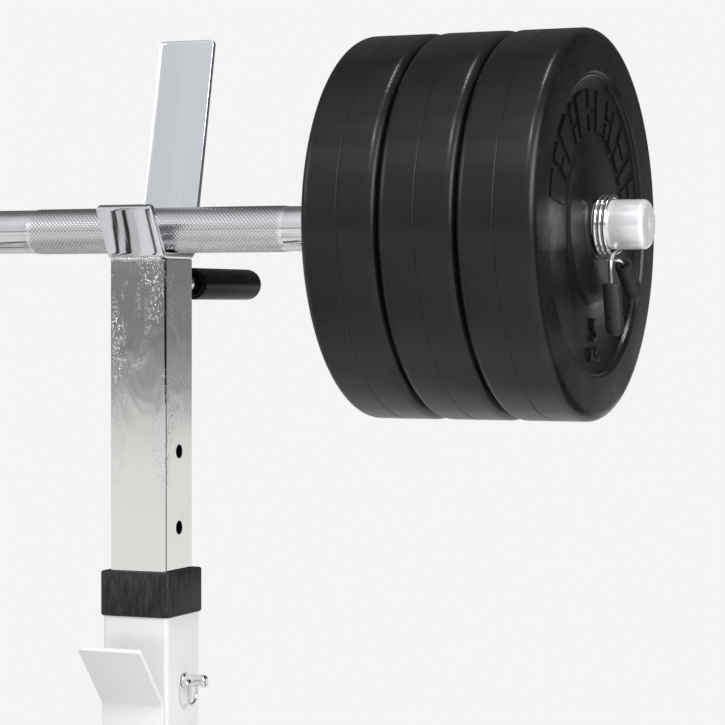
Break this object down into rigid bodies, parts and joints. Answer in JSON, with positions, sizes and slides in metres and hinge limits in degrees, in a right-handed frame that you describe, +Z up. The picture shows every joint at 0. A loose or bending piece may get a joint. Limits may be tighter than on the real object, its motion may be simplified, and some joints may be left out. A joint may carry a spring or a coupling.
{
  "type": "bench press station",
  "caption": "Weight bench with telescopic uprights, tall bar hooks, safety catches, an adjustable back and a barbell with plates and spring collars.",
  "frame": {"origin": "on the floor, under the middle of the bounding box", "axes": "+X along the bar to the user's right when seated facing the front, +Y towards the head end of the bench, +Z up"},
  "size_m": [1.7, 1.325, 1.1273],
  "materials": {
    "white_paint": "satin white powder coat",
    "chrome": "bright plated steel",
    "zinc": "zinc plated",
    "black_plastic": "moulded, faintly streaked",
    "plate_plastic": "satin moulded shell",
    "black_rubber": "smooth",
    "black_leather": "fine grained",
    "board_wood": "plain plywood"
  },
  "bodies": {
    "frame": {"right_foot_tube": "white_paint", "left_foot_tube": "white_paint", "right_upright": "white_paint", "left_upright": "white_paint", "right_safety_catch": "white_paint", "left_safety_catch": "white_paint", "cross_tube": "white_paint", "beam": "white_paint", "front_post": "white_paint", "front_foot_tube": "white_paint", "seat_saddle": "white_paint", "hinge_bracket": "white_paint", "incline_pin_bracket": "white_paint", "hinge_bolt": "zinc", "right_upright_bush": "black_plastic", "left_upright_bush": "black_plastic", "beam_rear_cap": "black_plastic", "beam_front_cap": "black_plastic", "right_rear_foot_cap": "black_rubber", "left_rear_foot_cap": "black_rubber", "right_front_foot_cap": "black_rubber", "left_front_foot_cap": "black_rubber", "front_foot_right_cap": "black_rubber", "front_foot_left_cap": "black_rubber", "arm_rest_pad": "black_rubber", "seat_pad": "black_leather", "seat_board": "board_wood"},
    "backrest": {"back_arm": "white_paint", "incline_sector": "white_paint", "back_board": "board_wood", "back_pad": "black_leather"},
    "incline_plunger": {"incline_pin": "chrome", "incline_knob": "black_plastic"},
    "right_telescope": {"right_inner_tube": "chrome", "right_hook": "chrome", "right_handle_rod": "chrome", "right_handle_grip": "black_rubber"},
    "right_pin": {"right_lock_pin": "chrome"},
    "right_ring": {"right_pin_ring": "chrome"},
    "left_telescope": {"left_inner_tube": "chrome", "left_hook": "chrome", "left_handle_rod": "chrome", "left_handle_grip": "black_rubber"},
    "left_pin": {"left_lock_pin": "chrome"},
    "left_ring": {"left_pin_ring": "chrome"},
    "barbell": {"bar_shaft": "chrome"},
    "right_weight_1": {"right_plate_1": "plate_plastic"},
    "right_weight_2": {"right_plate_2": "plate_plastic"},
    "right_weight_3": {"right_plate_3": "plate_plastic"},
    "right_collar": {"right_spring_coil": "chrome", "right_front_spring_grip": "black_plastic"},
    "right_lever": {"right_spring_arm": "chrome", "right_rear_spring_grip": "black_plastic"},
    "left_weight_1": {"left_plate_1": "plate_plastic"},
    "left_weight_2": {"left_plate_2": "plate_plastic"},
    "left_weight_3": {"left_plate_3": "plate_plastic"},
    "left_collar": {"left_spring_coil": "chrome", "left_front_spring_grip": "black_plastic"},
    "left_lever": {"left_spring_arm": "chrome", "left_rear_spring_grip": "black_plastic"}
  },
  "joints": [
    {"name": "backrest_hinge", "type": "hinge", "parent": "frame", "child": "backrest", "pos_m": [0, -0.3075, 0.3677], "axis": [1, 0, 0], "range_deg": [0, 45]},
    {"name": "incline_pin_pull", "type": "slide", "parent": "frame", "child": "incline_plunger", "axis": [1, 0, 0], "range_m": [0, 0.012], "stiffness_N_per_m": 400, "springref_m": -0.01},
    {"name": "right_telescope_slide", "type": "slide", "parent": "frame", "child": "right_telescope", "axis": [0, 0, 1], "range_m": [-0.147, 0.147]},
    {"name": "left_telescope_slide", "type": "slide", "parent": "frame", "child": "left_telescope", "axis": [0, 0, 1], "range_m": [-0.147, 0.147]},
    {"name": "barbell_lift", "type": "slide", "parent": "right_telescope", "child": "barbell", "axis": [0, 0, 1], "range_m": [0, 0.16]},
    {"name": "right_pin_pull", "type": "slide", "parent": "frame", "child": "right_pin", "axis": [1, 0, 0], "range_m": [0, 0.025]},
    {"name": "right_ring_swing", "type": "hinge", "parent": "right_pin", "child": "right_ring", "pos_m": [0.5443, 0.4225, 0.7107], "axis": [0, 1, 0], "range_deg": [-120, 12]},
    {"name": "right_weight_1_turn", "type": "hinge", "parent": "barbell", "child": "right_weight_1", "pos_m": [0, 0.4225, 1], "axis": [1, 0, 0], "continuous": true},
    {"name": "right_weight_2_turn", "type": "hinge", "parent": "barbell", "child": "right_weight_2", "pos_m": [0, 0.4225, 1], "axis": [1, 0, 0], "continuous": true},
    {"name": "right_weight_3_turn", "type": "hinge", "parent": "barbell", "child": "right_weight_3", "pos_m": [0, 0.4225, 1], "axis": [1, 0, 0], "continuous": true},
    {"name": "right_collar_slide", "type": "slide", "parent": "barbell", "child": "right_collar", "axis": [1, 0, 0], "range_m": [0, 0.045]},
    {"name": "right_lever_squeeze", "type": "hinge", "parent": "right_collar", "child": "right_lever", "pos_m": [0, 0.4225, 1], "axis": [1, 0, 0], "range_deg": [-25, 0], "stiffness_Nm_per_rad": 3, "springref_deg": 5.73},
    {"name": "left_pin_pull", "type": "slide", "parent": "frame", "child": "left_pin", "axis": [-1, 0, 0], "range_m": [0, 0.025]},
    {"name": "left_ring_swing", "type": "hinge", "parent": "left_pin", "child": "left_ring", "pos_m": [-0.5443, 0.4225, 0.7107], "axis": [0, 1, 0], "range_deg": [-12, 120]},
    {"name": "left_weight_1_turn", "type": "hinge", "parent": "barbell", "child": "left_weight_1", "pos_m": [0, 0.4225, 1], "axis": [1, 0, 0], "continuous": true},
    {"name": "left_weight_2_turn", "type": "hinge", "parent": "barbell", "child": "left_weight_2", "pos_m": [0, 0.4225, 1], "axis": [1, 0, 0], "continuous": true},
    {"name": "left_weight_3_turn", "type": "hinge", "parent": "barbell", "child": "left_weight_3", "pos_m": [0, 0.4225, 1], "axis": [1, 0, 0], "continuous": true},
    {"name": "left_collar_slide", "type": "slide", "parent": "barbell", "child": "left_collar", "axis": [-1, 0, 0], "range_m": [0, 0.045]},
    {"name": "left_lever_squeeze", "type": "hinge", "parent": "left_collar", "child": "left_lever", "pos_m": [0, 0.4225, 1], "axis": [1, 0, 0], "range_deg": [-25, 0], "stiffness_Nm_per_rad": 3, "springref_deg": 5.73}
  ],
  "couplings": [
    {"joint": "left_telescope_slide", "follows": "right_telescope_slide", "ratio": 1}
  ]
}
